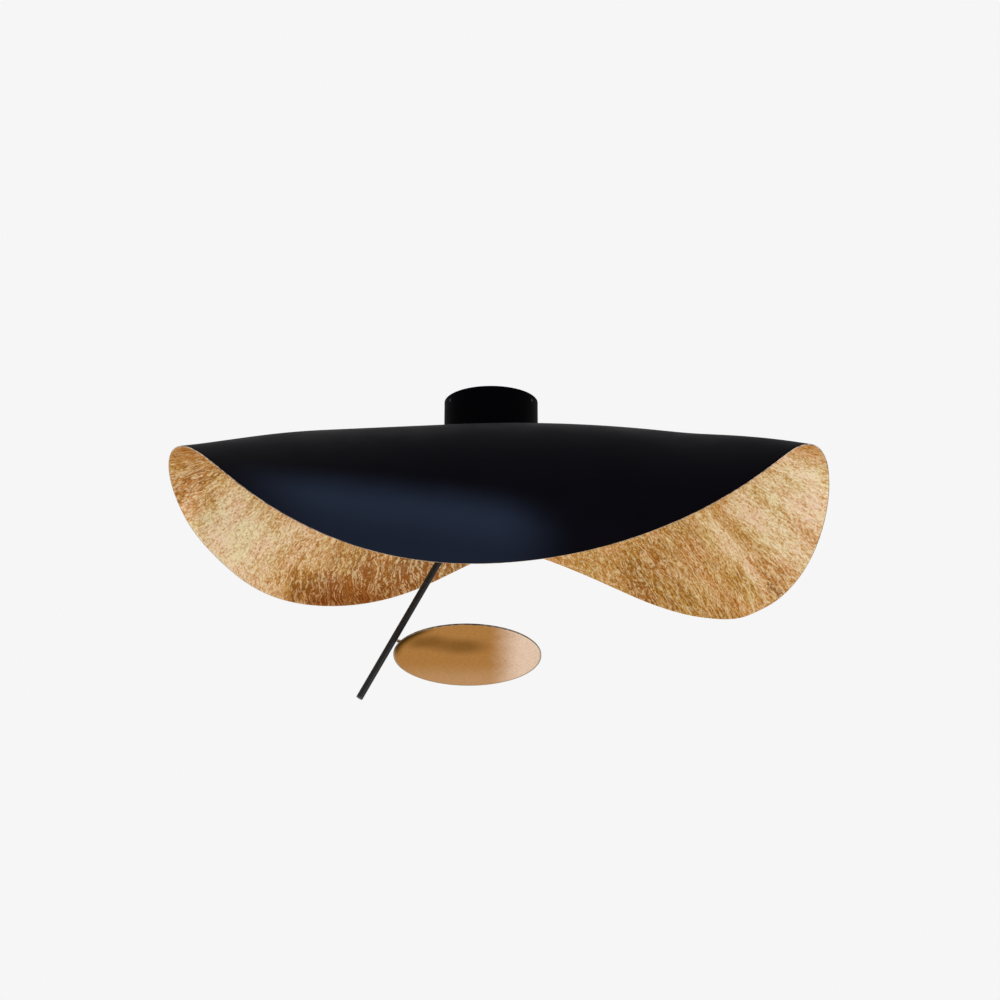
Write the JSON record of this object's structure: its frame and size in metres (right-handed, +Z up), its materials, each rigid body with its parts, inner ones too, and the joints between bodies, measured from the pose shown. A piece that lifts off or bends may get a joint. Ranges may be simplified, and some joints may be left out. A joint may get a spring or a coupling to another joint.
{
  "type": "sculptural ceiling light",
  "caption": "Ceiling light with a round canopy, a bent disc shade, black outside and gold inside, and a small gold disc on a leaning rod that lights up into it.",
  "frame": {"origin": "centre of the two ceiling slots at the mounting plate's top face, which lies on the ceiling", "axes": "+Z up into the ceiling, -Y towards the shade's low front flap, +X along the line of the two slots, towards the shade's right lobe"},
  "size_m": [0.9481, 0.8286, 0.4715],
  "materials": {
    "galvanised_plate": "zinc-plated",
    "zinc_hardware": "zinc-plated",
    "black_canopy": "satin black paint",
    "black_screws": "black oxide",
    "black_rubber": "matte",
    "driver_case": "moulded white",
    "terminal_plastic": "moulded natural",
    "brass_screws": "turned",
    "earth_wire": "green sheath with yellow",
    "input_wire": "sheathed",
    "lead_sheath": "sheathed",
    "black_gold_sheet": "satin black outside, gold leaf inside",
    "black_hardware": "satin black paint",
    "steel_pin": "ground",
    "nylon": "natural",
    "black_tube": "matte black paint",
    "black_cap": "matte black",
    "gold_dish": "satin gold below, black above",
    "black_lamp": "satin black paint",
    "bare_aluminium": "turned",
    "white_board": "white solder mask",
    "led_yellow": "phosphor",
    "opal_lens": "opal"
  },
  "bodies": {
    "ceiling_mount": {"mounting_plate": "galvanised_plate", "tab_nuts": "zinc_hardware", "canopy_cup": "black_canopy", "canopy_set_screws": "black_screws", "cable_bush": "black_rubber", "led_driver": "driver_case", "driver_screws": "zinc_hardware", "terminal_block": "terminal_plastic", "terminal_screws": "brass_screws", "earth_screw": "zinc_hardware", "earth_lead": "earth_wire", "input_leads": "input_wire", "output_lead": "lead_sheath", "canopy_gasket": "black_rubber", "wave_shade": "black_gold_sheet", "clamp_plate": "black_hardware", "stop_pin": "steel_pin", "clamp_screws": "black_screws", "clamp_nuts": "zinc_hardware"},
    "swivel": {"swivel_fork": "black_hardware", "thrust_washer": "nylon", "stem_washer": "zinc_hardware", "stem_nut": "zinc_hardware", "knuckle_bolt": "black_screws", "knuckle_nut": "black_screws", "knuckle_washers": "nylon"},
    "arm": {"arm_eye": "black_hardware", "arm_tube": "black_tube", "arm_end_plug": "black_cap", "pivot_sleeve": "steel_pin", "pivot_pin": "steel_pin", "pin_clip": "steel_pin", "arm_lead": "lead_sheath"},
    "dish": {"dish_pan": "gold_dish", "pin_block": "black_hardware", "friction_bush": "nylon", "foot_nuts": "zinc_hardware", "lamp_ring": "black_lamp", "lamp_nuts": "zinc_hardware", "heat_spreader": "bare_aluminium", "led_board": "white_board", "led_chips": "led_yellow", "diffuser_lens": "opal_lens", "lens_ring": "black_lamp", "lens_screws": "black_screws", "dish_lead": "lead_sheath"}
  },
  "joints": [
    {"name": "arm_pan", "type": "hinge", "parent": "ceiling_mount", "child": "swivel", "pos_m": [0, 0, -0.114], "axis": [0, 0, 1], "range_deg": [-155, 155]},
    {"name": "arm_tilt", "type": "hinge", "parent": "swivel", "child": "arm", "pos_m": [0, 0, -0.114], "axis": [0.1736, -0.9848, 0], "range_deg": [-18, 28]},
    {"name": "dish_tilt", "type": "hinge", "parent": "arm", "child": "dish", "pos_m": [-0.14263, -0.02515, -0.38185], "axis": [0.9243, 0.3735, -0.0785], "range_deg": [-45, 45]}
  ]
}
